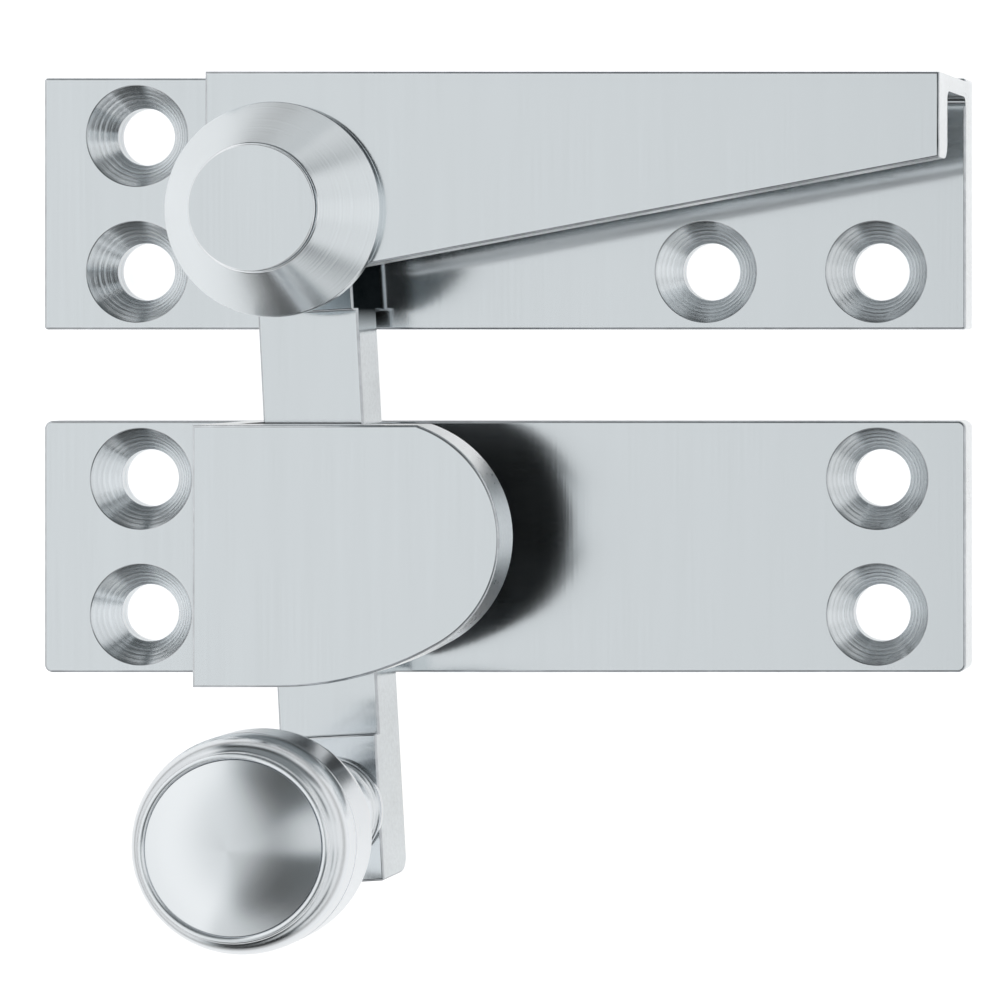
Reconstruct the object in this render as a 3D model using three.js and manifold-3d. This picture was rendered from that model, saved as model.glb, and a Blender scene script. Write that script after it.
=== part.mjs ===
// Straight-arm sash window fastener, satin and bright chrome on brass.
// Millimetres, +Z up. Both plates lie on z = 0 with their long sides along X.
// The body sits at the back (+Y) and carries the swinging arm. The keep sits in front of it, on the
// other sash. Everything is drawn about the pivot axis first, and the whole group is then shifted so
// that the middle of the assembly's footprint is the origin.

import * as THREE from 'three';
import { mergeVertices } from 'three/addons/utils/BufferGeometryUtils.js';
import Module from 'manifold-3d';

const wasm = await Module();
wasm.setup();

// ---- driving dimensions ---------------------------------------------------------------------------

const plateLength = 93;
const plateWidth = 25.4;
const plateThickness = 3.5;
const plateLeft = -28.8;
const plateRight = plateLeft + plateLength;
const cutMargin = 1;

const bodyRear = 13.75;
const bodyFront = bodyRear - plateWidth;
const keepRear = -20.85;
const keepFront = keepRear - plateWidth;
const bodyCornerRadius = 0.3;
const keepCornerRadius = 0.8;

// the shelf over the body and the cam plate over the keep are roofs at the same height
const roofUnderside = 13;
const roofThickness = 4.1;
const roofTop = roofUnderside + roofThickness;

const screwHoleRadius = 2.9;
const countersinkRadius = 5;
const countersinkDepth = countersinkRadius - screwHoleRadius;
const holeHalfPitch = 6.85;

const bodyLeftHolesX = -19.4;
const bodyRightHolesX = [38, 55.2];
const keepHolesX = [-19, 55.3];

const shelfRadius = 6.87;
const shelfSlope = THREE.MathUtils.degToRad(10.66);
const wallOuterY = 13.4;
const wallThickness = 1.6;
const wallFillet = 0.9;

const camLeft = -8.1;
const camWallThickness = 2.9;
const noseCentre = new THREE.Vector2(9.9, -31.95);
const noseRadius = 11.7;
const noseEndAngle = -Math.PI / 3;

const armWidth = 9.9;
const armTilt = THREE.MathUtils.degToRad(3.2);
const armUnderside = 5.6;
const armTopAtPivot = 10.6;
const armTopAtKnob = 11.1;
const armEnd = 66.2;
const armEndRadius = 1.6;
const pivotPadLength = 10;
const pivotPadUnderside = 4.1;
const pivotPadTop = 11.8;
const knobPadStart = 51.65;
const knobPadTop = 12.1;

const pinRadius = 3;
const pinBoreRadius = 3.05;
const pinHeadRadius = 6.05;
const pinHeadThickness = 0.5;
const pinGapRadius = 5.6;
const pinGapHeight = 0.15;
const rivetRadius = 4.2;
const rivetDepth = 1.4;
const rivetRecess = 0.15;
const armBoreRadius = 3.15;

const collarRadius = 10.4;
const collarBand = 0.9;
const collarTopRadius = 6.2;
const collarHeight = 5.4;

const washerRadius = 5.4;
const washerThickness = 0.5;
const washerClearance = 0.05;
const waveThickness = 0.25;
const waveHeight = 0.15;
const waveCount = 3;

const knobAxis = 59;
const knobRadius = 10.2;
const knobFootRadius = 5.3;
const knobFootBand = 0.5;
const knobNeckRadius = 4;
const knobNeckBottom = 16;
const knobNeckTop = 23.4;
const knobWaistRadius = 5.4;
const knobWaist = 25.2;
const knobBandBottom = 28.9;
const knobBandTop = 32.3;
const knobShoulder = 1.9;
const knobShoulderRise = 2.65;
const knobTop = 36.6;
const beadCentreRadius = 8.45;
const beadHeight = 34.9;
const beadRadius = 0.35;
const domeRadius = 8.05;
const domeSphere = 22.6;
const knobBoreTop = 22;

const screwRadius = 2;
const screwBoreRadius = 2.05;
const screwHeadRadius = 3.8;
const screwSeatRadius = 4;
const screwRecess = 0.15;
const screwTop = 21;
const slotWidth = 0.9;
const slotDepth = 0.8;

const roundSegments = 64;
const outlineSegments = 24;
const filletSegments = 8;
const weldTolerance = 1e-4;

// ---- materials --------------------------------------------------------------------------------------

function finish(colour, roughness) {
  return new THREE.MeshStandardMaterial({ color: colour, metalness: 1, roughness });
}

const satinChrome = () => finish(0xcdd2d6, 0.3);
const brightChrome = () => finish(0xd6dade, 0.12);
const springSteel = () => finish(0x8f9498, 0.35);
const plainBrass = () => finish(0xb99a55, 0.35);

// ---- helpers ----------------------------------------------------------------------------------------

function solidFrom(geometry) {
  const bare = geometry.clone();
  bare.deleteAttribute('normal');
  bare.deleteAttribute('uv');
  const merged = mergeVertices(bare, weldTolerance);
  const mesh = new wasm.Mesh({
    numProp: 3,
    vertProperties: new Float32Array(merged.attributes.position.array),
    triVerts: new Uint32Array(merged.index.array),
  });
  return new wasm.Manifold(mesh);
}

function geometryFrom(solid) {
  const { vertProperties, triVerts, numProp } = solid.getMesh();
  const positions = new Float32Array((vertProperties.length / numProp) * 3);
  for (let i = 0; i < positions.length / 3; i += 1) {
    for (let k = 0; k < 3; k += 1) positions[3 * i + k] = vertProperties[numProp * i + k];
  }
  const geometry = new THREE.BufferGeometry();
  geometry.setAttribute('position', new THREE.BufferAttribute(positions, 3));
  geometry.setIndex(new THREE.BufferAttribute(new Uint32Array(triVerts), 1));
  geometry.computeVertexNormals();
  return geometry;
}

function namedMesh(name, geometry, material) {
  const mesh = new THREE.Mesh(geometry, material);
  mesh.name = name;
  return mesh;
}

// a plan outline raised from one height to another
function raised(outline, bottom, top) {
  const depth = top - bottom;
  const options = { depth, bevelEnabled: false, curveSegments: outlineSegments };
  const geometry = new THREE.ExtrudeGeometry(outline, options);
  return geometry.translate(0, 0, bottom);
}

function box(x0, x1, y0, y1, z0, z1) {
  const geometry = new THREE.BoxGeometry(x1 - x0, y1 - y0, z1 - z0);
  return geometry.translate((x0 + x1) / 2, (y0 + y1) / 2, (z0 + z1) / 2);
}

// a turned shape about Z from [radius, height] pairs
function turned(profile) {
  const points = profile.map(([radius, height]) => new THREE.Vector2(radius, height));
  return new THREE.LatheGeometry(points, roundSegments).rotateX(Math.PI / 2);
}

function turnedTube(inner, outer, bottom, top) {
  return turned([[inner, bottom], [outer, bottom], [outer, top], [inner, top], [inner, bottom]]);
}

function turnedRod(radius, bottom, top) {
  return turned([[0, bottom], [radius, bottom], [radius, top], [0, top]]);
}

function roundedRectangle(x0, x1, y0, y1, radius) {
  const shape = new THREE.Shape();
  shape.absarc(x1 - radius, y0 + radius, radius, -Math.PI / 2, 0);
  shape.absarc(x1 - radius, y1 - radius, radius, 0, Math.PI / 2);
  shape.absarc(x0 + radius, y1 - radius, radius, Math.PI / 2, Math.PI);
  shape.absarc(x0 + radius, y0 + radius, radius, Math.PI, 1.5 * Math.PI);
  shape.closePath();
  return shape;
}

// points along an arc of an ellipse in a turned profile, from angle a to angle b
function arcPairs(centreRadius, centreHeight, spanRadius, spanHeight, a, b, count) {
  const pairs = [];
  for (let i = 0; i <= count; i += 1) {
    const angle = THREE.MathUtils.degToRad(a + ((b - a) * i) / count);
    const radius = centreRadius + spanRadius * Math.cos(angle);
    pairs.push([radius, centreHeight + spanHeight * Math.sin(angle)]);
  }
  return pairs;
}

// ---- plates -----------------------------------------------------------------------------------------

function countersunkHole(x, y) {
  const coneBottom = plateThickness - countersinkDepth;
  const profile = [
    [0, -cutMargin],
    [screwHoleRadius, -cutMargin],
    [screwHoleRadius, coneBottom],
    [countersinkRadius + cutMargin, plateThickness + cutMargin],
    [0, plateThickness + cutMargin],
  ];
  return solidFrom(turned(profile).translate(x, y, 0));
}

function drilledPlate(rear, front, cornerRadius, holes) {
  const outline = roundedRectangle(plateLeft, plateRight, front, rear, cornerRadius);
  let plate = solidFrom(raised(outline, 0, plateThickness));
  for (const [x, y] of holes) plate = plate.subtract(countersunkHole(x, y));
  return plate;
}

// ---- body: plate, rear wall and wedge-shaped shelf in one casting -----------------------------------

function shelfOutline() {
  // the left edge and the sloping front edge are both tangent to one round about the pivot
  const slopeStart = -Math.PI / 2 + shelfSlope;
  const startX = shelfRadius * Math.cos(slopeStart);
  const startY = shelfRadius * Math.sin(slopeStart);
  const endY = startY + (plateRight - startX) * Math.tan(shelfSlope);
  const shape = new THREE.Shape();
  shape.moveTo(plateRight, endY);
  shape.lineTo(plateRight, wallOuterY);
  shape.lineTo(-shelfRadius, wallOuterY);
  shape.absarc(0, 0, shelfRadius, Math.PI, 2 * Math.PI + slopeStart);
  shape.closePath();
  return shape;
}

function rearWall() {
  // section across Y and Z with a fillet where it meets the plate and the shelf
  const inner = wallOuterY - wallThickness;
  const bottom = plateThickness;
  const section = new THREE.Shape();
  section.moveTo(wallOuterY, bottom - cutMargin);
  section.lineTo(wallOuterY, roofUnderside + cutMargin);
  section.lineTo(inner - wallFillet, roofUnderside + cutMargin);
  section.lineTo(inner - wallFillet, roofUnderside);
  section.absarc(inner - wallFillet, roofUnderside - wallFillet, wallFillet, Math.PI / 2, 0, true);
  section.absarc(inner - wallFillet, bottom + wallFillet, wallFillet, 0, -Math.PI / 2, true);
  section.lineTo(inner - wallFillet, bottom - cutMargin);
  section.closePath();
  const length = plateRight + shelfRadius;
  const options = { depth: length, bevelEnabled: false, curveSegments: filletSegments };
  const geometry = new THREE.ExtrudeGeometry(section, options);
  // section axes (x, y) become (Y, Z), and the extrusion runs along X
  geometry.applyMatrix4(new THREE.Matrix4().set(0, 0, 1, -shelfRadius, 1, 0, 0, 0, 0, 1, 0, 0, 0, 0, 0, 1));
  return solidFrom(geometry);
}

function makeBody() {
  const middle = (bodyRear + bodyFront) / 2;
  const holes = [
    [bodyLeftHolesX, middle + holeHalfPitch],
    [bodyLeftHolesX, middle - holeHalfPitch],
    ...bodyRightHolesX.map((x) => [x, middle - holeHalfPitch]),
  ];
  const bore = solidFrom(turnedRod(pinBoreRadius, -cutMargin, roofTop + cutMargin));
  const rivetSeat = solidFrom(turned([
    [0, -cutMargin],
    [rivetRadius + cutMargin, -cutMargin],
    [rivetRadius + pinBoreRadius - pinRadius, rivetRecess],
    [pinBoreRadius, rivetDepth],
    [0, rivetDepth],
  ]));
  const solid = drilledPlate(bodyRear, bodyFront, bodyCornerRadius, holes)
    .add(rearWall())
    .add(solidFrom(raised(shelfOutline(), roofUnderside, roofTop)))
    .subtract(bore)
    .subtract(rivetSeat);
  return namedMesh('body', geometryFrom(solid), satinChrome());
}

// ---- keep: plate, side wall and the D-shaped cam plate in one casting -------------------------------

function camOutline() {
  // the nose is one arc, cut off by the rear edge, and a flatter arc runs from it into the front edge
  const cutAngle = Math.asin((keepRear - noseCentre.y) / noseRadius);
  const endX = noseCentre.x + noseRadius * Math.cos(noseEndAngle);
  const endY = noseCentre.y + noseRadius * Math.sin(noseEndAngle);
  const flatRadius = (endY - keepFront) / (1 + Math.sin(noseEndAngle));
  const flatX = endX - flatRadius * Math.cos(noseEndAngle);
  const flatY = keepFront + flatRadius;
  const shape = new THREE.Shape();
  shape.moveTo(camLeft, keepFront);
  shape.lineTo(flatX, keepFront);
  shape.absarc(flatX, flatY, flatRadius, -Math.PI / 2, noseEndAngle);
  shape.absarc(noseCentre.x, noseCentre.y, noseRadius, noseEndAngle, cutAngle);
  shape.lineTo(camLeft, keepRear);
  shape.closePath();
  return shape;
}

function makeKeep() {
  const middle = (keepRear + keepFront) / 2;
  const holes = keepHolesX.flatMap((x) => [[x, middle + holeHalfPitch], [x, middle - holeHalfPitch]]);
  const wallRight = camLeft + camWallThickness;
  const wallTop = roofUnderside + cutMargin;
  const wallBottom = plateThickness - cutMargin;
  const solid = drilledPlate(keepRear, keepFront, keepCornerRadius, holes)
    .add(solidFrom(box(camLeft, wallRight, keepFront, keepRear, wallBottom, wallTop)))
    .add(solidFrom(raised(camOutline(), roofUnderside, roofTop)));
  return namedMesh('keep', geometryFrom(solid), satinChrome());
}

// ---- arm, drawn along -Y from the pivot ---------------------------------------------------------------

function armSideView() {
  // x is the distance from the pivot towards the knob and y is height
  const shape = new THREE.Shape();
  shape.moveTo(-armWidth, pivotPadUnderside);
  shape.lineTo(pivotPadLength, pivotPadUnderside);
  shape.lineTo(pivotPadLength, armUnderside);
  shape.absarc(armEnd - armEndRadius, armUnderside + armEndRadius, armEndRadius, -Math.PI / 2, 0);
  shape.lineTo(armEnd, knobPadTop);
  shape.lineTo(knobPadStart, knobPadTop);
  shape.lineTo(knobPadStart, armTopAtKnob);
  shape.lineTo(pivotPadLength, armTopAtPivot);
  shape.lineTo(pivotPadLength, pivotPadTop);
  shape.lineTo(-armWidth, pivotPadTop);
  shape.closePath();
  return shape;
}

function armPlanView() {
  const shape = new THREE.Shape();
  const half = armWidth / 2;
  shape.moveTo(-half, -armEnd - cutMargin);
  shape.lineTo(half, -armEnd - cutMargin);
  shape.absarc(0, 0, half, 0, Math.PI);
  shape.closePath();
  return shape;
}

function makeArm() {
  const side = new THREE.ExtrudeGeometry(armSideView(), {
    depth: armWidth + 2 * cutMargin,
    bevelEnabled: false,
    curveSegments: filletSegments,
  });
  side.translate(0, 0, -armWidth / 2 - cutMargin);
  // section axes (x, y) become (-Y, Z), and the extrusion runs along -X
  side.applyMatrix4(new THREE.Matrix4().set(0, 0, -1, 0, -1, 0, 0, 0, 0, 1, 0, 0, 0, 0, 0, 1));
  const plan = raised(armPlanView(), 0, roofTop);
  const bore = solidFrom(turnedRod(armBoreRadius, 0, roofTop));
  const screwSeat = solidFrom(turned([
    [0, armUnderside - cutMargin],
    [screwSeatRadius + cutMargin, armUnderside - cutMargin],
    [screwBoreRadius, armUnderside + screwSeatRadius - screwBoreRadius],
    [screwBoreRadius, knobPadTop + cutMargin],
    [0, knobPadTop + cutMargin],
  ]).translate(0, -knobAxis, 0));
  const solid = solidFrom(side).intersect(solidFrom(plan)).subtract(bore).subtract(screwSeat);
  return namedMesh('arm', geometryFrom(solid), satinChrome());
}

// ---- pivot ------------------------------------------------------------------------------------------

function makePivotPin() {
  // the lower end is riveted over into a countersink under the body, and a narrow step under the head
  // leaves a shadow line between the head and the collar
  const headBottom = roofTop + collarHeight;
  return namedMesh('pivot_pin', turned([
    [0, rivetRecess],
    [rivetRadius, rivetRecess],
    [pinRadius, rivetDepth],
    [pinRadius, headBottom],
    [pinGapRadius, headBottom],
    [pinGapRadius, headBottom + pinGapHeight],
    [pinHeadRadius, headBottom + pinGapHeight],
    [pinHeadRadius, headBottom + pinHeadThickness],
    [0, headBottom + pinHeadThickness],
  ]), satinChrome());
}

function makePivotCollar() {
  return namedMesh('pivot_collar', turned([
    [pinBoreRadius, roofTop],
    [collarRadius, roofTop],
    [collarRadius, roofTop + collarBand],
    [collarTopRadius, roofTop + collarHeight],
    [pinBoreRadius, roofTop + collarHeight],
    [pinBoreRadius, roofTop],
  ]), satinChrome());
}

function makeWasher(name, bottom) {
  const ring = turnedTube(armBoreRadius, washerRadius, bottom, bottom + washerThickness);
  return namedMesh(name, ring, springSteel());
}

function makeWaveWasher() {
  const middle = (pivotPadTop + washerThickness + roofUnderside) / 2;
  const half = waveThickness / 2;
  const ring = turnedTube(armBoreRadius, washerRadius, middle - half, middle + half);
  const position = ring.attributes.position;
  for (let i = 0; i < position.count; i += 1) {
    const angle = Math.atan2(position.getY(i), position.getX(i));
    position.setZ(i, position.getZ(i) + waveHeight * Math.sin(waveCount * angle));
  }
  ring.computeVertexNormals();
  return namedMesh('wave_washer', ring, springSteel());
}

// ---- knob and its screw, drawn about the knob's own axis ----------------------------------------------

function makeKnob() {
  const domeHalfAngle = Math.asin(domeRadius / domeSphere);
  const domeCentre = knobTop - domeSphere;
  const domeStart = 90 - THREE.MathUtils.radToDeg(domeHalfAngle);
  const coveRise = knobWaist - knobNeckTop;
  const profile = [
    [screwBoreRadius, knobPadTop],
    [knobFootRadius, knobPadTop],
    ...arcPairs(knobFootRadius, knobNeckBottom, knobFootRadius - knobNeckRadius,
      knobNeckBottom - knobPadTop - knobFootBand, 270, 180, 8),
    ...arcPairs(knobWaistRadius, knobNeckTop, knobWaistRadius - knobNeckRadius, coveRise, 180, 90, 6),
    ...arcPairs(knobWaistRadius, knobBandBottom, knobRadius - knobWaistRadius,
      knobBandBottom - knobWaist, -80, 0, 10),
    ...arcPairs(knobRadius - knobShoulder, knobBandTop, knobShoulder, knobShoulderRise, 0, 70, 8),
    ...arcPairs(beadCentreRadius, beadHeight, beadRadius, beadRadius, 0, 180, 6),
    ...arcPairs(0, domeCentre, domeSphere, domeSphere, domeStart, 90, 6),
    [0, knobBoreTop],
    [screwBoreRadius, knobBoreTop],
    [screwBoreRadius, knobPadTop],
  ];
  return namedMesh('knob', turned(profile), brightChrome());
}

function makeKnobScrew() {
  const headBottom = armUnderside + screwRecess;
  const rod = solidFrom(turned([
    [0, headBottom],
    [screwHeadRadius, headBottom],
    [screwRadius, headBottom + screwHeadRadius - screwRadius],
    [screwRadius, screwTop],
    [0, screwTop],
  ]));
  const slot = box(-armWidth, armWidth, -slotWidth / 2, slotWidth / 2, 0, headBottom + slotDepth);
  return namedMesh('knob_screw', geometryFrom(rod.subtract(solidFrom(slot))), plainBrass());
}

// ---- assembly -----------------------------------------------------------------------------------------

function assemble() {
  const knobGroup = new THREE.Group();
  knobGroup.position.y = -knobAxis;
  knobGroup.add(makeKnob(), makeKnobScrew());

  const armGroup = new THREE.Group();
  armGroup.rotation.z = armTilt;
  armGroup.add(makeArm(), knobGroup);

  const model = new THREE.Group();
  model.add(makeBody(), makeKeep(), armGroup, makePivotPin(), makePivotCollar());
  model.add(makeWasher('lower_thrust_washer', plateThickness));
  model.add(makeWasher('upper_thrust_washer', pivotPadTop + washerClearance));
  model.add(makeWaveWasher());

  // the origin is the middle of the underside of the whole assembly
  model.updateMatrixWorld(true);
  const middle = new THREE.Box3().setFromObject(model, true).getCenter(new THREE.Vector3());
  model.position.set(-middle.x, -middle.y, 0);
  return model;
}

export default assemble();
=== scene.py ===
import math

import bmesh
import bpy
from mathutils import Matrix, Vector


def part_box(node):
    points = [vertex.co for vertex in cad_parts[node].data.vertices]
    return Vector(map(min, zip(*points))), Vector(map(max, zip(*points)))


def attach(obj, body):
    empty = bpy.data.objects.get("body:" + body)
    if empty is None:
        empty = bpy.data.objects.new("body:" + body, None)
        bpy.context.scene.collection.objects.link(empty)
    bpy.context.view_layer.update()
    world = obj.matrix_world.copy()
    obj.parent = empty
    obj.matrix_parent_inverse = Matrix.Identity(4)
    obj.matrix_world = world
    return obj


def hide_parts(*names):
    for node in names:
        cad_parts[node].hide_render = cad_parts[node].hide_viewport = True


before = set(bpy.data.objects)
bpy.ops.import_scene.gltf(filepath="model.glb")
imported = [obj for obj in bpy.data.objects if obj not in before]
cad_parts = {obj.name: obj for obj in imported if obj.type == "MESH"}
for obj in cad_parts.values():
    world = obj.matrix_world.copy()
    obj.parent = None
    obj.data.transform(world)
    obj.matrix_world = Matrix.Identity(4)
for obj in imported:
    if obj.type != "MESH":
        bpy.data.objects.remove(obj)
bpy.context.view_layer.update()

# A straight-arm sash fastener in satin and bright chrome: body, keep, swinging arm and turned knob.
# Shapes are drawn in millimetres about the pivot axis, then finished() moves them into the frame.

MM = 0.001
ARC_STEP = math.radians(3)
# how many sides a turned shape has
ROUND = 160
# edges that bend more than this count as sharp
SHARP_ANGLE = math.radians(32)
RIM_STEPS = 3
# how far a cutting or joining shape reaches past the face that it works on
MARGIN = 1.0
# slack for telling faces and edges apart by where they are
NEAR = 0.1
HAIR = 0.01

# limits on a face's normal, for telling which way the face looks
LEVEL = 0.99
STEEP = 0.9
UPRIGHT = 0.1
SLIGHTLY_UP = 0.05
MOSTLY_DOWN = -0.5
PARTLY_INWARD = 0.3

# ---- places and sizes from the frame ------------------------------------------------------------------


def box_mm(node):
    low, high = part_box(node)
    return low / MM, high / MM


body_low, body_high = box_mm("body")
keep_low, keep_high = box_mm("keep")
arm_low, arm_high = box_mm("arm")
pin_low, pin_high = box_mm("pivot_pin")
collar_low, collar_high = box_mm("pivot_collar")
knob_low, knob_high = box_mm("knob")
screw_low, screw_high = box_mm("knob_screw")
washer_low, washer_high = box_mm("lower_thrust_washer")
upper_low, upper_high = box_mm("upper_thrust_washer")
wave_low, wave_high = box_mm("wave_washer")

pivot = Vector(((pin_low.x + pin_high.x) / 2, (pin_low.y + pin_high.y) / 2, 0))
knob_place = Vector(((knob_low.x + knob_high.x) / 2, (knob_low.y + knob_high.y) / 2, 0)) - pivot
knob_axis = knob_place.length
arm_turn = math.atan2(knob_place.x, -knob_place.y)

plate_left = body_low.x - pivot.x
plate_right = body_high.x - pivot.x
body_front, body_rear = body_low.y - pivot.y, body_high.y - pivot.y
keep_front, keep_rear = keep_low.y - pivot.y, keep_high.y - pivot.y
plate_top = washer_low.z
roof_top = body_high.z

# ---- sizes that the boxes don't give ------------------------------------------------------------------

roof_underside = roof_top - 4.1
body_corner = 0.3
keep_corner = 0.8
hole_radius = 2.9
countersink_radius = 5.0
hole_half_pitch = 6.85
plate_rim = 0.24
sink_rim = 0.2
body_left_holes = -19.4
body_right_holes = (38.0, 55.2)
keep_holes = (-19.0, 55.3)

shelf_radius = 6.87
shelf_slope = math.radians(10.66)
shelf_lower_round = 1.5
wall_outer = 13.4
wall_thickness = 1.6
wall_fillet = 0.9

cam_left = -8.1
cam_wall = 2.9
nose_x, nose_y = 9.9, -31.95
nose_radius = 11.7
nose_end = -math.pi / 3

arm_half_width = 4.95
arm_underside = 5.6
arm_top_at_pivot = 10.6
arm_top_at_knob = 11.1
arm_end = 66.2
arm_end_round = 1.6
pad_length = 10.0
pad_underside = arm_low.z
pad_top = 11.8
knob_pad_start = 51.65
knob_pad_top = arm_high.z

pin_radius = 3.0
pin_bore = 3.05
arm_bore = 3.15
head_radius = (pin_high.x - pin_low.x) / 2
head_thickness = 0.5
head_gap = 0.15
gap_radius = 5.6
rivet_radius = 4.2
rivet_depth = 1.4

collar_radius = (collar_high.x - collar_low.x) / 2
collar_band = 0.9
collar_top_radius = 6.2

washer_outer = (washer_high.x - washer_low.x) / 2
wave_thickness = 0.25
wave_count = 3

knob_radius = (knob_high.x - knob_low.x) / 2
knob_top = knob_high.z
screw_bore = 2.05
screw_seat = 4.0
screw_head = 3.8
screw_radius = 2.0
slot_width = 0.9
slot_depth = 0.8

# ---- outlines -----------------------------------------------------------------------------------------


def arc(x, y, radius, start, end, other_radius=None):
    """Points along an arc of a circle, or of an ellipse when other_radius gives its second radius."""
    second = radius if other_radius is None else other_radius
    steps = max(3, round(abs(end - start) / ARC_STEP))
    angles = [start + (end - start) * i / steps for i in range(steps + 1)]
    return [(x + radius * math.cos(a), y + second * math.sin(a)) for a in angles]


def rounded_rectangle(left, right, front, rear, radius):
    quarter = math.pi / 2
    return (
        arc(right - radius, front + radius, radius, -quarter, 0)
        + arc(right - radius, rear - radius, radius, 0, quarter)
        + arc(left + radius, rear - radius, radius, quarter, 2 * quarter)
        + arc(left + radius, front + radius, radius, 2 * quarter, 3 * quarter)
    )


def shelf_outline():
    # the left edge and the sloping front edge are tangent to one round about the pivot
    slope_start = -math.pi / 2 + shelf_slope
    start_x = shelf_radius * math.cos(slope_start)
    start_y = shelf_radius * math.sin(slope_start)
    end_y = start_y + (plate_right - start_x) * math.tan(shelf_slope)
    corners = [(plate_right, end_y), (plate_right, wall_outer), (-shelf_radius, wall_outer)]
    return corners + arc(0, 0, shelf_radius, math.pi, 2 * math.pi + slope_start)


def cam_outline():
    # the nose is one arc, cut off by the rear edge, and a flatter arc runs from it into the front edge
    cut = math.asin((keep_rear - nose_y) / nose_radius)
    end_x = nose_x + nose_radius * math.cos(nose_end)
    end_y = nose_y + nose_radius * math.sin(nose_end)
    flat_radius = (end_y - keep_front) / (1 + math.sin(nose_end))
    flat_x = end_x - flat_radius * math.cos(nose_end)
    points = [(cam_left, keep_front)]
    points += arc(flat_x, keep_front + flat_radius, flat_radius, -math.pi / 2, nose_end)
    points += arc(nose_x, nose_y, nose_radius, nose_end, cut)[1:]
    return points + [(cam_left, keep_rear)]


def wall_section():
    # across Y and Z, with a fillet where the wall meets the plate and the shelf
    inner = wall_outer - wall_thickness
    start = inner - wall_fillet
    quarter = math.pi / 2
    return (
        [(wall_outer, plate_top - MARGIN), (wall_outer, roof_underside + MARGIN)]
        + [(start, roof_underside + MARGIN)]
        + arc(start, roof_underside - wall_fillet, wall_fillet, quarter, 0)
        + arc(start, plate_top + wall_fillet, wall_fillet, 0, -quarter)
        + [(start, plate_top - MARGIN)]
    )


def arm_side_view():
    # x is the distance from the pivot towards the knob and y is height
    end_arc = arc(arm_end - arm_end_round, arm_underside + arm_end_round, arm_end_round, -math.pi / 2, 0)
    left = -arm_half_width - MARGIN
    return (
        [(left, pad_underside), (pad_length, pad_underside), (pad_length, arm_underside)]
        + end_arc
        + [(arm_end, knob_pad_top), (knob_pad_start, knob_pad_top), (knob_pad_start, arm_top_at_knob)]
        + [(pad_length, arm_top_at_pivot), (pad_length, pad_top), (left, pad_top)]
    )


def arm_plan():
    half = arm_half_width
    return [(-half, -arm_end - MARGIN), (half, -arm_end - MARGIN)] + arc(0, 0, half, 0, math.pi)


# ---- mesh making ----------------------------------------------------------------------------------------


def inset(outline, distance):
    """An anticlockwise outline with every side moved inwards by distance."""
    points = [Vector(point) for point in outline]
    found = []
    for i, here in enumerate(points):
        before = here - points[i - 1]
        after = points[(i + 1) % len(points)] - here
        first = Vector((-before.y, before.x)).normalized()
        second = Vector((-after.y, after.x)).normalized()
        inwards = (first + second).normalized()
        found.append(here + inwards * distance / inwards.dot(first))
    return found


def prism(outline, bottom, top, rim=0.0):
    """A plan outline raised from one height to another, with its upper rim rounded by rim."""
    levels = [(outline, bottom), (outline, top - rim)]
    steps = RIM_STEPS if rim else 0
    for i in range(1, steps + 1):
        angle = math.pi / 2 * i / RIM_STEPS
        height = top - rim + rim * math.sin(angle)
        levels.append((inset(outline, rim * (1 - math.cos(angle))), height))
    shape = bmesh.new()
    rings = [[shape.verts.new((x, y, height)) for x, y in points] for points, height in levels]
    shape.faces.new(rings[0][::-1])
    shape.faces.new(rings[-1])
    for low, high in zip(rings, rings[1:]):
        for i in range(len(outline)):
            j = (i + 1) % len(outline)
            shape.faces.new((low[i], low[j], high[j], high[i]))
    bmesh.ops.recalc_face_normals(shape, faces=shape.faces)
    return shape


def turned(profile, closed=False, x=0.0, y=0.0):
    """A shape turned about an upright axis from (radius, height) pairs."""
    shape = bmesh.new()
    rings = []
    for radius, height in profile:
        if radius == 0:
            rings.append([shape.verts.new((x, y, height))] * ROUND)
            continue
        angles = [2 * math.pi * i / ROUND for i in range(ROUND)]
        rings.append(
            [shape.verts.new((x + radius * math.cos(a), y + radius * math.sin(a), height)) for a in angles]
        )
    following = rings[1:] + rings[:1] if closed else rings[1:]
    for low, high in zip(rings, following):
        for i in range(ROUND):
            j = (i + 1) % ROUND
            corners = list(dict.fromkeys((low[i], low[j], high[j], high[i])))
            if len(corners) > 2:
                shape.faces.new(corners)
    bmesh.ops.recalc_face_normals(shape, faces=shape.faces)
    return shape


def moved(shape, matrix):
    bmesh.ops.transform(shape, matrix=matrix, verts=shape.verts)
    return shape


def object_from(shape, name):
    mesh = bpy.data.meshes.new(name)
    shape.to_mesh(mesh)
    shape.free()
    made = bpy.data.objects.new(name, mesh)
    bpy.context.scene.collection.objects.link(made)
    return made


def combined(name, base, steps):
    """base after each (operation, shape) step, as one object with no modifiers left."""
    target = object_from(base, name)
    tools = []
    for operation, shape in steps:
        tool = object_from(shape, name + "_tool")
        modifier = target.modifiers.new(operation, "BOOLEAN")
        modifier.operation = operation
        modifier.solver = "EXACT"
        modifier.object = tool
        tools.append(tool)
    graph = bpy.context.evaluated_depsgraph_get()
    mesh = bpy.data.meshes.new_from_object(target.evaluated_get(graph))
    target.modifiers.clear()
    target.data = mesh
    mesh.name = name
    for tool in tools:
        bpy.data.objects.remove(tool)
    return target


def mark_outer_edges(mesh):
    """Gives every sharp edge that points outwards a full bevel weight."""
    shape = bmesh.new()
    shape.from_mesh(mesh)
    weight = shape.edges.layers.float.new("bevel_weight_edge")
    for edge in shape.edges:
        if edge.is_manifold and edge.is_convex and edge.calc_face_angle() > SHARP_ANGLE:
            edge[weight] = 1.0
    shape.to_mesh(mesh)
    shape.free()


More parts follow.
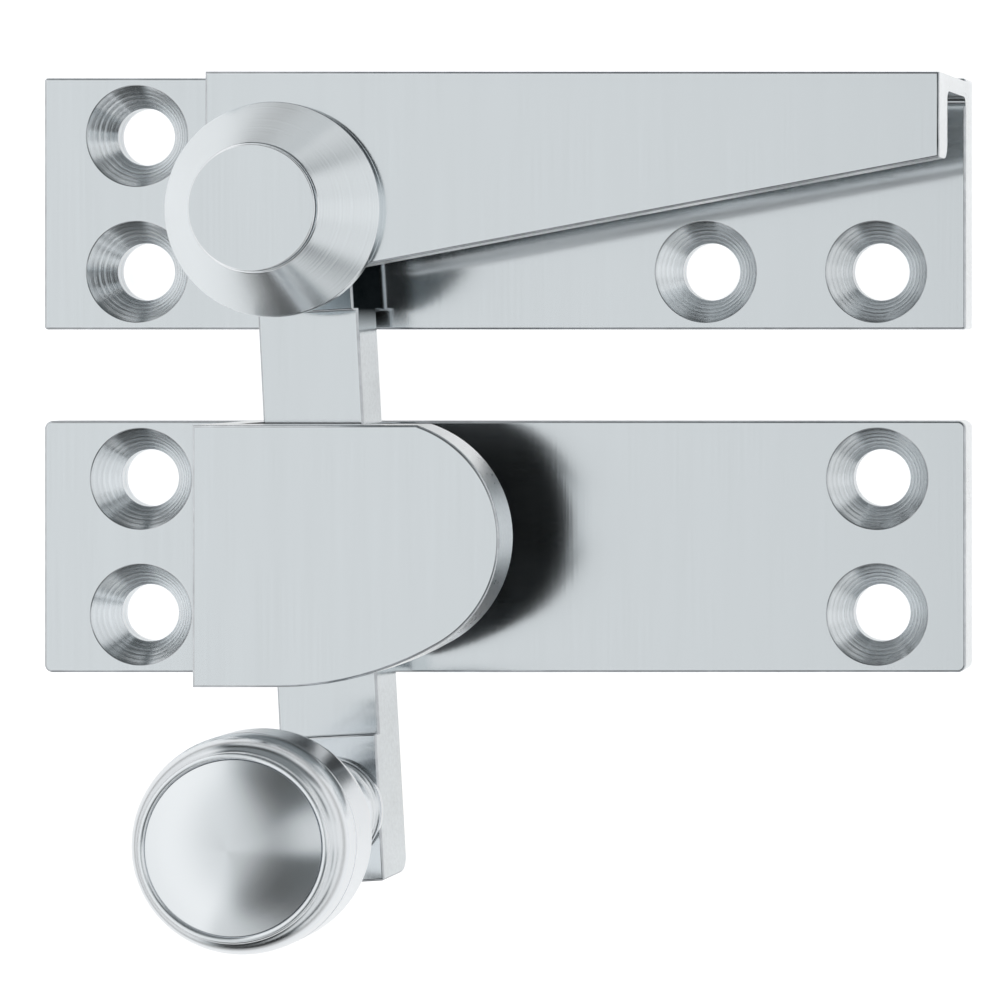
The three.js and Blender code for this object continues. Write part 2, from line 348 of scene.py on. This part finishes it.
def finished(piece, body, cad_name, metals, choose, edge=0.0, edge_metal=None, turn=0.0):
    """Places a drawn piece, picks a metal for each face, rounds its edges and ties it to the frame.

    choose(centre, normal) gives a face's metal and the axis that the face was turned about.
    """
    mesh = piece.data
    if edge:
        mark_outer_edges(mesh)
    for metal in metals:
        mesh.materials.append(metal)
    place = Matrix.Scale(MM, 4) @ Matrix.Translation(pivot) @ Matrix.Rotation(turn, 4, "Z")
    chosen = [choose(face.center, face.normal) for face in mesh.polygons]
    mesh.polygons.foreach_set("material_index", [metals.index(metal) for metal, _ in chosen])
    axes = [number for _, (x, y) in chosen for number in place @ Vector((x, y, 0))]
    attribute = mesh.attributes.new("turning_axis", "FLOAT_VECTOR", "FACE")
    attribute.data.foreach_set("vector", axes)
    mesh.transform(place)
    mesh.shade_smooth()
    if edge:
        bevel = piece.modifiers.new("rounded_edges", "BEVEL")
        bevel.width = edge * MM
        bevel.segments = 3
        bevel.limit_method = "WEIGHT"
        bevel.harden_normals = True
        bevel.use_clamp_overlap = False
        if edge_metal is not None:
            bevel.material = metals.index(edge_metal)
    else:
        mesh.set_sharp_from_angle(angle=SHARP_ANGLE)
    weighted = piece.modifiers.new("flat_face_shading", "WEIGHTED_NORMAL")
    weighted.weight = 100
    weighted.keep_sharp = True
    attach(piece, body)
    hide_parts(cad_name)


# ---- materials ------------------------------------------------------------------------------------------


def node(tree, kind, inputs=None, **settings):
    made = tree.nodes.new(kind)
    for key, value in settings.items():
        setattr(made, key, value)
    for key, value in (inputs or {}).items():
        if isinstance(value, bpy.types.NodeSocket):
            tree.links.new(value, made.inputs[key])
        else:
            made.inputs[key].default_value = value
    return made


def maths(tree, operation, *values):
    return node(tree, "ShaderNodeMath", dict(enumerate(values)), operation=operation).outputs[0]


def vector(tree, operation, *values):
    return node(tree, "ShaderNodeVectorMath", dict(enumerate(values)), operation=operation).outputs[0]


def spread(tree, value, low, high):
    """A 0 to 1 value spread over low to high."""
    inputs = {"Value": value, "To Min": low, "To Max": high}
    return node(tree, "ShaderNodeMapRange", inputs).outputs["Result"]


def noise(tree, place, detail=2.0, scale=1.0):
    inputs = {"Vector": place, "Scale": scale, "Detail": detail}
    return node(tree, "ShaderNodeTexNoise", inputs).outputs["Fac"]


def metal_base(name):
    material = bpy.data.materials.new(name)
    material.use_nodes = True
    tree = material.node_tree
    shader = tree.nodes["Principled BSDF"]
    shader.inputs["Metallic"].default_value = 1.0
    place = node(tree, "ShaderNodeTexCoord").outputs["Object"]
    return material, tree, shader, place


def from_turning_axis(tree, place):
    """The level direction from the face's turning axis to a place, and its length."""
    axis = node(tree, "ShaderNodeAttribute", attribute_name="turning_axis").outputs["Vector"]
    out = vector(tree, "MULTIPLY", vector(tree, "SUBTRACT", place, axis), (1.0, 1.0, 0.0))
    length = node(tree, "ShaderNodeVectorMath", {0: out}, operation="LENGTH").outputs["Value"]
    return out, length


def set_tangent(tree, shader, direction, amount):
    """Makes the shine uneven by amount, with its tangent along a direction in the object's axes."""
    shader.inputs["Anisotropic"].default_value = amount
    settings = {"vector_type": "VECTOR", "convert_from": "OBJECT", "convert_to": "WORLD"}
    tangent = node(tree, "ShaderNodeVectorTransform", {"Vector": direction}, **settings)
    tree.links.new(tangent.outputs[0], shader.inputs["Tangent"])


# most of a noise texture's values lie between these two
NOISE_LOW, NOISE_HIGH = 0.3, 0.7
MOST_SWING = 0.25
SWING_PER_CONTRAST = 5
RELIEF_HEIGHT = 0.00005


def grain(tree, shader, streaks, patches, colour, roughness, contrast, bump):
    """Streaks and slow patches in colour and in roughness, with the streaks as relief too."""
    swing = min(MOST_SWING, SWING_PER_CONTRAST * contrast)
    mixed = maths(tree, "MULTIPLY_ADD", patches, 0.5, maths(tree, "MULTIPLY", streaks, 0.5))
    inputs = {"Value": mixed, "From Min": NOISE_LOW, "From Max": NOISE_HIGH}
    mixed = node(tree, "ShaderNodeMapRange", inputs).outputs["Result"]
    shade = spread(tree, mixed, 1.0 - contrast, 1.0 + contrast)
    tint = node(tree, "ShaderNodeVectorMath", {0: colour, "Scale": shade}, operation="SCALE")
    tree.links.new(tint.outputs[0], shader.inputs["Base Color"])
    rough = spread(tree, mixed, roughness * (1 - swing), roughness * (1 + swing))
    tree.links.new(rough, shader.inputs["Roughness"])
    inputs = {"Height": streaks, "Strength": bump, "Distance": RELIEF_HEIGHT}
    tree.links.new(node(tree, "ShaderNodeBump", inputs).outputs[0], shader.inputs["Normal"])


# how fine the textures are along X, Y and Z, or in every direction
BRUSH_STREAKS = (3600.0, 70.0, 3600.0)
BRUSH_PATCHES = (420.0, 25.0, 420.0)
LATHE_PATCHES = 120.0
PLAIN_PATCHES = 150.0
BRUSH_SHINE = 0.9


def brushed(name, colour, roughness, contrast=0.022, bump=0.07):
    """Brushed metal with its brush lines along Y."""
    material, tree, shader, place = metal_base(name)
    fine = noise(tree, vector(tree, "MULTIPLY", place, BRUSH_STREAKS), 3.0)
    broad = noise(tree, vector(tree, "MULTIPLY", place, BRUSH_PATCHES), 2.0)
    grain(tree, shader, fine, broad, colour, roughness, contrast, bump)
    set_tangent(tree, shader, (1.0, 0.0, 0.0), BRUSH_SHINE)
    return material


def turned_metal(name, colour, roughness, rings=5000.0, shine=0.6, contrast=0.06, bump=0.05):
    """Metal with the fine rings of a lathe tool about the face's own turning axis."""
    material, tree, shader, place = metal_base(name)
    out, radius = from_turning_axis(tree, place)
    height = node(tree, "ShaderNodeSeparateXYZ", {0: place}).outputs["Z"]
    ring_place = node(tree, "ShaderNodeCombineXYZ", {"X": radius, "Y": height}).outputs[0]
    fine = noise(tree, ring_place, 3.0, rings)
    broad = noise(tree, place, 2.0, LATHE_PATCHES)
    grain(tree, shader, fine, broad, colour, roughness, contrast, bump)
    set_tangent(tree, shader, out, shine)
    return material


def plain_metal(name, colour, roughness, scale=2500.0, contrast=0.08, bump=0.05):
    """Metal with an even fine texture, for side walls, edges painted dark as a reflection of dark
    surroundings, and the insides of the castings.
    """
    material, tree, shader, place = metal_base(name)
    fine = noise(tree, place, 4.0, scale)
    broad = noise(tree, place, 2.0, PLAIN_PATCHES)
    grain(tree, shader, fine, broad, colour, roughness, contrast, bump)
    return material


FLANK_SHADOW = 0.15


def flank_metal_painted_shade(name, colour, roughness, near, far):
    """Side metal with painted shade: darkest within near of the face's turning axis and plain from far
    outwards.
    """
    material = plain_metal(name, colour, roughness)
    tree = material.node_tree
    shader = tree.nodes["Principled BSDF"]
    place = node(tree, "ShaderNodeTexCoord").outputs["Object"]
    _, distance = from_turning_axis(tree, place)
    inputs = {"Value": distance, "From Min": near * MM, "From Max": far * MM, "To Min": FLANK_SHADOW}
    shade = node(tree, "ShaderNodeMapRange", inputs).outputs["Result"]
    tint = node(tree, "ShaderNodeVectorMath", {"Scale": shade}, operation="SCALE")
    tree.links.new(shader.inputs["Base Color"].links[0].from_socket, tint.inputs[0])
    tree.links.new(tint.outputs[0], shader.inputs["Base Color"])
    # the painted shade also dims the side's reflection
    tree.links.new(shade, shader.inputs["Specular Tint"])
    return material


# base colours
CHROME = (0.785, 0.82, 0.84)
SIDE_CHROME = (0.9, 0.915, 0.925)
FLANK_CHROME = (0.72, 0.75, 0.765)
EDGE_CHROME = (0.86, 0.88, 0.90)
SHELF_GREY = (0.88, 0.9, 0.91)
CAM_PAINTED_SHADE = (0.12, 0.125, 0.13)
EDGE_REFLECTION_GREY = (0.55, 0.57, 0.59)
SINK_CHROME = (0.80, 0.83, 0.85)
SPUN_CHROME = (0.82, 0.85, 0.87)
POLISHED_CHROME = (0.84, 0.86, 0.88)
STEEL = (0.32, 0.33, 0.34)
BRASS = (0.62, 0.45, 0.20)

satin_top = brushed("satin_chrome_brushed", CHROME, 0.13)
satin_side = plain_metal("satin_chrome_side", SIDE_CHROME, 0.32)
# the arm's sides carry painted shade near the pivot
arm_flank_painted_shade = flank_metal_painted_shade("arm_flank_painted_shade", FLANK_CHROME, 0.16, near=11.0, far=13.0)
bright_edge = plain_metal("bright_chrome_edge", EDGE_CHROME, 0.08, contrast=0.04, bump=0.02)
shelf_recess = plain_metal("dull_shelf_recess", SHELF_GREY, 0.25, scale=1800.0, contrast=0.1, bump=0.1)
# the recess under the cam is painted near black as shade
cam_recess_painted_shade = plain_metal("painted_shade_cam_recess", CAM_PAINTED_SHADE, 0.3, scale=1800.0, contrast=0.2, bump=0.3)
# edges are painted darker grey as a reflection of dark surroundings
dark_edge_painted_reflection = plain_metal("dark_edge_painted_reflection", EDGE_REFLECTION_GREY, 0.12, scale=900.0, contrast=0.2, bump=0.03)
turned_satin = turned_metal("turned_satin_chrome", CHROME, 0.2, shine=0.3)
turned_sink = turned_metal("turned_countersink", SINK_CHROME, 0.22, rings=2500.0, contrast=0.25, bump=0.8)
spun_bright = turned_metal(
    "spun_bright_chrome", SPUN_CHROME, 0.23, rings=7000.0, shine=0.85, contrast=0.01, bump=0.01
)
polished_bright = turned_metal("polished_bright_chrome", POLISHED_CHROME, 0.2, shine=0.4, bump=0.02)
spring_steel = turned_metal("spring_steel", STEEL, 0.3, shine=0.4)
screw_brass = turned_metal("plain_brass", BRASS, 0.3, shine=0.4)

# ---- plates ---------------------------------------------------------------------------------------------


def countersunk_hole(x, y):
    # the cone's upper rim is rounded over into the plate's top
    cone_bottom = plate_top - (countersink_radius - hole_radius)
    rim_radius = countersink_radius + sink_rim
    rounded = arc(rim_radius, plate_top - sink_rim, sink_rim, 3 * math.pi / 4, math.pi / 2)
    return turned(
        [(0, -MARGIN), (hole_radius, -MARGIN), (hole_radius, cone_bottom)]
        + rounded
        + [(rim_radius, plate_top + MARGIN), (0, plate_top + MARGIN)],
        x=x,
        y=y,
    )


def plate_faces(holes, inward, recess):
    """How a plate casting's faces get their metals; recess is the wall's inner side, facing inward."""

    def choose(centre, normal):
        for x, y in holes:
            inside = math.hypot(centre.x - x, centre.y - y) < countersink_radius
            if inside and centre.z < plate_top - HAIR and abs(normal.z) < STEEP:
                return turned_sink, (x, y)
        if normal.z > LEVEL:
            return satin_top, (0, 0)
        # the rounded rims take the edge metal with its painted dark reflection
        near_rim = min(abs(centre.z - plate_top), abs(centre.z - roof_top)) < plate_rim
        if near_rim and normal.z > SLIGHTLY_UP:
            return dark_edge_painted_reflection, (0, 0)
        # for the keep, the recess metal is painted shade
        between = plate_top < centre.z < roof_underside + NEAR
        if between and (normal.z < MOSTLY_DOWN or normal.dot(inward) > PARTLY_INWARD):
            return recess, (0, 0)
        return satin_side, (0, 0)

    return choose


def round_slope_underside(shelf):
    """Rounds the lower edge of the shelf's sloping front."""
    shelf.edges.ensure_lookup_table()
    slope_edges = [
        e
        for e in shelf.edges
        if all(v.co.z < roof_underside + NEAR for v in e.verts)
        and max(v.co.x for v in e.verts) > plate_right - NEAR
        and min(v.co.x for v in e.verts) < shelf_radius
        and min(v.co.y for v in e.verts) < 0
    ]
    bmesh.ops.bevel(
        shelf, geom=slope_edges, offset=shelf_lower_round, segments=6, profile=0.5, affect="EDGES"
    )


def make_body():
    middle = (body_front + body_rear) / 2
    holes = [(body_left_holes, middle + hole_half_pitch), (body_left_holes, middle - hole_half_pitch)]
    holes += [(x, middle - hole_half_pitch) for x in body_right_holes]
    shelf = prism(shelf_outline(), roof_underside, roof_top, plate_rim)
    round_slope_underside(shelf)
    wall = prism(wall_section(), -shelf_radius, plate_right)
    # the wall's section axes become Y and Z, and its length runs along X
    axes = Matrix(((0, 0, 1, 0), (1, 0, 0, 0), (0, 1, 0, 0), (0, 0, 0, 1)))
    bore_top = roof_top + MARGIN
    bore = turned([(0, -MARGIN), (pin_bore, -MARGIN), (pin_bore, bore_top), (0, bore_top)])
    seat_radius = rivet_radius + MARGIN
    seat = turned([(0, -MARGIN), (seat_radius, -MARGIN), (pin_bore, rivet_depth), (0, rivet_depth)])
    outline = rounded_rectangle(plate_left, plate_right, body_front, body_rear, body_corner)
    steps = [("UNION", moved(wall, axes)), ("UNION", shelf), ("DIFFERENCE", bore), ("DIFFERENCE", seat)]
    steps += [("DIFFERENCE", countersunk_hole(x, y)) for x, y in holes]
    piece = combined("body_casting", prism(outline, 0, plate_top, plate_rim), steps)
    metals = [satin_top, satin_side, shelf_recess, turned_sink, dark_edge_painted_reflection]
    chosen = plate_faces(holes, Vector((0, -1, 0)), shelf_recess)
    finished(piece, "body_unit", "body", metals, chosen)


def make_keep():
    middle = (keep_front + keep_rear) / 2
    holes = [(x, middle + side * hole_half_pitch) for x in keep_holes for side in (1, -1)]
    wall_outline = [
        (cam_left, keep_front),
        (cam_left + cam_wall, keep_front),
        (cam_left + cam_wall, keep_rear),
        (cam_left, keep_rear),
    ]
    outline = rounded_rectangle(plate_left, plate_right, keep_front, keep_rear, keep_corner)
    wall = prism(wall_outline, plate_top - MARGIN, roof_underside + MARGIN)
    steps = [("UNION", wall), ("UNION", prism(cam_outline(), roof_underside, roof_top, plate_rim))]
    steps += [("DIFFERENCE", countersunk_hole(x, y)) for x, y in holes]
    piece = combined("keep_casting", prism(outline, 0, plate_top, plate_rim), steps)
    metals = [satin_top, satin_side, cam_recess_painted_shade, turned_sink, dark_edge_painted_reflection]
    chosen = plate_faces(holes, Vector((1, 0, 0)), cam_recess_painted_shade)
    finished(piece, "keep_unit", "keep", metals, chosen)


# ---- arm ------------------------------------------------------------------------------------------------


def make_arm():
    side = prism(arm_side_view(), -arm_half_width - MARGIN, arm_half_width + MARGIN)
    # the section axes become -Y and Z, and the thickness runs along -X
    axes = Matrix(((0, 0, -1, 0), (-1, 0, 0, 0), (0, 1, 0, 0), (0, 0, 0, 1)))
    bore = turned([(0, 0), (arm_bore, 0), (arm_bore, roof_top), (0, roof_top)])
    seat = turned(
        [
            (0, arm_underside - MARGIN),
            (screw_seat + MARGIN, arm_underside - MARGIN),
            (screw_bore, arm_underside + screw_seat - screw_bore),
            (screw_bore, knob_pad_top + MARGIN),
            (0, knob_pad_top + MARGIN),
        ],
        y=-knob_axis,
    )
    steps = [("INTERSECT", prism(arm_plan(), 0, roof_top)), ("DIFFERENCE", bore), ("DIFFERENCE", seat)]
    piece = combined("swinging_arm", moved(side, axes), steps)

    def choose(centre, normal):
        if math.hypot(centre.x, centre.y + knob_axis) < screw_seat and abs(normal.z) < STEEP:
            return turned_sink, (0, -knob_axis)
        return (satin_top if normal.z > LEVEL else arm_flank_painted_shade), (0, 0)

    metals = [satin_top, arm_flank_painted_shade, turned_sink, dark_edge_painted_reflection]
    # the arm's rounded edges take the painted dark edge reflection
    finished(piece, "arm_unit", "arm", metals, choose, 0.22, dark_edge_painted_reflection, arm_turn)


# ---- turned pieces --------------------------------------------------------------------------------------


def one_metal(metal, axis=(0, 0)):
    return lambda centre, normal: (metal, axis)


def make_pivot_pin():
    head_bottom = pin_high.z - head_thickness
    gap_top = head_bottom + head_gap
    profile = [(0, pin_low.z), (rivet_radius, pin_low.z)]
    profile += [(pin_radius, rivet_depth), (pin_radius, head_bottom)]
    profile += [(gap_radius, head_bottom), (gap_radius, gap_top), (head_radius, gap_top)]
    profile += [(head_radius, pin_high.z), (0, pin_high.z)]
    piece = object_from(turned(profile), "riveted_pivot_pin")

    def choose(centre, normal):
        if normal.z > LEVEL:
            return satin_top, (0, 0)
        # the head's sides and the gap under it get painted shade
        on_head_side = centre.z > head_bottom and abs(normal.z) < UPRIGHT
        return (cam_recess_painted_shade if on_head_side else turned_satin), (0, 0)

    metals = [satin_top, turned_satin, bright_edge, cam_recess_painted_shade]
    finished(piece, "body_unit", "pivot_pin", metals, choose, 0.12, bright_edge)


def make_pivot_collar():
    profile = [
        (pin_bore, collar_low.z),
        (collar_radius, collar_low.z),
        (collar_radius, collar_low.z + collar_band),
        (collar_top_radius, collar_high.z),
        (pin_bore, collar_high.z),
    ]
    piece = object_from(turned(profile, closed=True), "coned_pivot_collar")
    metals = [turned_satin, bright_edge]
    chosen = one_metal(turned_satin)
    finished(piece, "body_unit", "pivot_collar", metals, chosen, 0.12, bright_edge)


def make_washer(name, cad_name, low, high):
    profile = [(arm_bore, low), (washer_outer, low), (washer_outer, high), (arm_bore, high)]
    piece = object_from(turned(profile, closed=True), name)
    chosen = one_metal(spring_steel)
    finished(piece, "body_unit", cad_name, [spring_steel], chosen, 0.08)


def make_wave_washer():
    middle = (wave_low.z + wave_high.z) / 2
    wave_height = (wave_high.z - wave_low.z - wave_thickness) / 2
    low, high = middle - wave_thickness / 2, middle + wave_thickness / 2
    profile = [(arm_bore, low), (washer_outer, low), (washer_outer, high), (arm_bore, high)]
    shape = turned(profile, closed=True)
    for corner in shape.verts:
        corner.co.z += wave_height * math.sin(wave_count * math.atan2(corner.co.y, corner.co.x))
    piece = object_from(shape, "wave_spring_washer")
    chosen = one_metal(spring_steel)
    finished(piece, "body_unit", "wave_washer", [spring_steel], chosen, 0.05)


def knob_profile():
    foot, foot_band, neck = 5.3, 0.5, 4.0
    neck_bottom, neck_top, waist, waist_radius = 16.0, 23.4, 25.2, 5.4
    band_bottom, band_top = 28.9, 32.3
    groove_depth, groove_height = 0.14, 0.22
    shoulder, shoulder_rise = 1.9, 2.65
    bead_centre, bead_height, bead = 8.45, 34.9, 0.35
    dome, dome_sphere = 8.05, 22.6
    bore_top = 22.0
    down, degree = math.pi, math.radians(1)
    dome_start = math.pi / 2 - math.asin(dome / dome_sphere)
    return (
        [(screw_bore, knob_pad_top), (foot, knob_pad_top)]
        + arc(foot, neck_bottom, foot - neck, 1.5 * down, down, neck_bottom - knob_pad_top - foot_band)
        + arc(waist_radius, neck_top, waist_radius - neck, down, down / 2, waist - neck_top)
        + arc(waist_radius, band_bottom, knob_radius - waist_radius, -80 * degree, 0, band_bottom - waist)
        + [(knob_radius, band_top - groove_height)]
        + [(knob_radius - groove_depth, band_top - groove_height / 2)]
        + arc(knob_radius - shoulder, band_top, shoulder, 0, 70 * degree, shoulder_rise)
        + arc(bead_centre, bead_height, bead, 0, down)
        + arc(0, knob_top - dome_sphere, dome_sphere, dome_start, math.pi / 2)[:-1]
        + [(0, knob_top), (0, bore_top), (screw_bore, bore_top)]
    )


# how far down from its top the knob's dome reaches
DOME_DEPTH = 1.6


def make_knob():
    piece = object_from(turned(knob_profile(), closed=True, y=-knob_axis), "turned_knob")

    def choose(centre, normal):
        on_dome = normal.z > STEEP and centre.z > knob_top - DOME_DEPTH
        return (spun_bright if on_dome else polished_bright), (0, -knob_axis)

    metals = [spun_bright, polished_bright]
    finished(piece, "arm_unit", "knob", metals, choose, turn=arm_turn)


def make_knob_screw():
    profile = [
        (0, screw_low.z),
        (screw_head, screw_low.z),
        (screw_radius, screw_low.z + screw_head - screw_radius),
        (screw_radius, screw_high.z),
        (0, screw_high.z),
    ]
    half = slot_width / 2
    slot_outline = [(-screw_head, -half - knob_axis), (screw_head, -half - knob_axis)]
    slot_outline += [(screw_head, half - knob_axis), (-screw_head, half - knob_axis)]
    slot = prism(slot_outline, screw_low.z - MARGIN, screw_low.z + slot_depth)
    piece = combined("slotted_knob_screw", turned(profile, y=-knob_axis), [("DIFFERENCE", slot)])
    chosen = one_metal(screw_brass, (0, -knob_axis))
    finished(piece, "arm_unit", "knob_screw", [screw_brass], chosen, 0.1, turn=arm_turn)


make_body()
make_keep()
make_arm()
make_pivot_pin()
make_pivot_collar()
make_washer("lower_thrust_washer_ring", "lower_thrust_washer", washer_low.z, washer_high.z)
make_washer("upper_thrust_washer_ring", "upper_thrust_washer", upper_low.z, upper_high.z)
make_wave_washer()
make_knob()
make_knob_screw()

# ---- floor and light ------------------------------------------------------------------------------------

FLOOR_SIZE = 4.0
FLOOR_DROP = 0.0002
BRIGHT_FLOOR_RADIUS = 0.12
# what reflections see of the floor near the object and far from it
NEAR_GLOW, FAR_GLOW = 0.8, 0.35
FLOOR_GREY = 0.8
FLOOR_EMISSION = 0.75

# brightness of the room where the camera sees it
BACKDROP = 0.95
# the unlit parts of the room are a little blue
UNLIT_COLOUR = (0.84, 0.95, 1.0, 1.0)
LIT_COLOUR = (1.0, 1.0, 1.0, 1.0)

CAMERA_PLACE = (0.1092, 0.0170, 0.3351)
CAMERA_LENS = 118.3
CAMERA_SHIFTS = {"shift_x": -1.087, "shift_y": -0.180}


def make_floor():
    shape = bmesh.new()
    bmesh.ops.create_grid(shape, x_segments=1, y_segments=1, size=FLOOR_SIZE)
    floor = object_from(shape, "floor")
    floor.location.z = -FLOOR_DROP
    material = bpy.data.materials.new("pale_floor")
    material.use_nodes = True
    tree = material.node_tree
    shader = tree.nodes["Principled BSDF"]
    place = node(tree, "ShaderNodeTexCoord").outputs["Object"]
    distance = node(tree, "ShaderNodeVectorMath", {0: place}, operation="LENGTH").outputs["Value"]
    inputs = {"Value": distance, "From Min": BRIGHT_FLOOR_RADIUS, "From Max": 2 * BRIGHT_FLOOR_RADIUS}
    inputs.update({"To Min": NEAR_GLOW, "To Max": FAR_GLOW})
    fade = node(tree, "ShaderNodeMapRange", inputs).outputs["Result"]
    reflected = node(tree, "ShaderNodeLightPath").outputs["Is Glossy Ray"]
    glow = node(tree, "ShaderNodeMix", {"Factor": reflected, "A": 1.0, "B": fade}).outputs["Result"]
    shader.inputs["Roughness"].default_value = 0.9
    shader.inputs["Specular IOR Level"].default_value = 0.1
    shade = node(tree, "ShaderNodeCombineColor", {"Red": glow, "Green": glow, "Blue": glow}).outputs[0]
    tree.links.new(vector(tree, "MULTIPLY", shade, (FLOOR_GREY,) * 3), shader.inputs["Base Color"])
    shader.inputs["Emission Color"].default_value = (1, 1, 1, 1)
    tree.links.new(maths(tree, "MULTIPLY", glow, FLOOR_EMISSION), shader.inputs["Emission Strength"])
    material.cycles.emission_sampling = "NONE"
    floor.data.materials.append(material)


def room_level(tree, x, y, z):
    """The room's brightness in the direction x, y, z: the brightest of its screen, strip and panels."""

    def step(value, start, end, low, high):
        """low up to start, high from end on, and a smooth change between them."""
        inputs = {"Value": value, "From Min": start, "From Max": end, "To Min": low, "To Max": high}
        return node(tree, "ShaderNodeMapRange", inputs, interpolation_type="SMOOTHSTEP").outputs["Result"]

    def times(first, second):
        return maths(tree, "MULTIPLY", first, second)

    azimuth = maths(tree, "ABSOLUTE", maths(tree, "ARCTAN2", y, x))
    across = maths(tree, "ABSOLUTE", y)

    # a screen on the left, brightest at middle heights, that stops short of overhead
    left_side = step(azimuth, math.radians(117), math.radians(131), 0.0, 1.0)
    left_height = maths(tree, "MINIMUM", step(z, 0.70, 0.86, 1.1, 0.81), step(z, 0.3, 0.55, 0.85, 1.1))
    left_screen = times(times(left_side, left_height), step(x, -0.12, -0.03, 1.0, 0.1))

    # a strip along the middle of the right side, with a dim room around it
    strip = times(step(across, 0.13, 0.26, 0.85, 0.1), step(x, 0.05, 0.2, 0.1, 1.0))

    # a low band on the right that stands higher in its middle
    band_height = maths(tree, "SUBTRACT", z, step(across, 0.5, 0.75, 0.14, 0.0))
    low_band = times(step(band_height, 0.19, 0.26, 0.9, 0.0), step(x, 0.1, 0.35, 0.0, 1.0))

    # a low panel at the back
    back_panel = times(step(y, 0.84, 0.95, 0.0, 0.8), step(z, 0.12, 0.26, 1.0, 0.0))

    # a panel at middle heights across the front and the right
    front_height = times(step(z, 0.36, 0.46, 0.0, 0.85), step(z, 0.68, 0.77, 1.0, 0.0))
    right_part = times(step(y, 0.55, 0.75, 1.0, 0.0), step(x, 0.2, 0.35, 0.0, 1.0))
    front_panel = times(front_height, maths(tree, "MAXIMUM", step(y, -0.5, -0.3, 1.0, 0.0), right_part))

    # a faint glow at middle heights at the back
    glow_height = times(step(z, 0.35, 0.5, 0.0, 0.25), step(z, 0.76, 0.84, 1.0, 0.0))
    back_glow = times(glow_height, step(y, 0.3, 0.45, 0.0, 1.0))

    level = maths(tree, "MAXIMUM", left_screen, strip)
    for panel in (low_band, back_panel, front_panel, back_glow):
        level = maths(tree, "MAXIMUM", level, panel)
    return level


def make_light():
    """A studio room all round the object, seen as plain and pale by the camera."""
    world = bpy.data.worlds.new("studio")
    bpy.context.scene.world = world
    world.use_nodes = True
    tree = world.node_tree
    background = tree.nodes["Background"]
    direction = node(tree, "ShaderNodeTexCoord").outputs["Generated"]
    level = room_level(tree, *node(tree, "ShaderNodeSeparateXYZ", {0: direction}).outputs)
    seen = node(tree, "ShaderNodeLightPath").outputs["Is Camera Ray"]
    inputs = {"Factor": seen, "A": level, "B": BACKDROP}
    strength = node(tree, "ShaderNodeMix", inputs).outputs["Result"]
    tree.links.new(strength, background.inputs["Strength"])
    hue = node(tree, "ShaderNodeMix", {"Factor": strength}, data_type="RGBA")
    hue.inputs["A"].default_value = UNLIT_COLOUR
    hue.inputs["B"].default_value = LIT_COLOUR
    tree.links.new(hue.outputs["Result"], background.inputs["Color"])


def make_camera():
    """A camera right of the object that looks straight down, with its window shifted over the object."""
    data = bpy.data.cameras.new("camera")
    camera = bpy.data.objects.new("camera", data)
    bpy.context.scene.collection.objects.link(camera)
    camera.location = CAMERA_PLACE
    data.lens = CAMERA_LENS
    data.clip_start = 0.01
    # the window is only shifted while the camera stands at this place
    for prop, amount in CAMERA_SHIFTS.items():
        driver = data.driver_add(prop).driver
        driver.type = "SCRIPTED"
        variable = driver.variables.new()
        variable.name = "height"
        variable.targets[0].id_type = "OBJECT"
        variable.targets[0].id = camera
        variable.targets[0].data_path = "location[2]"
        near = f"abs(height - {camera.location.z:.4f}) < 0.0001"
        driver.expression = f"{amount} if {near} else 0"
    bpy.context.scene.camera = camera


make_floor()
make_light()
make_camera()
bpy.context.scene.view_settings.view_transform = "Standard"
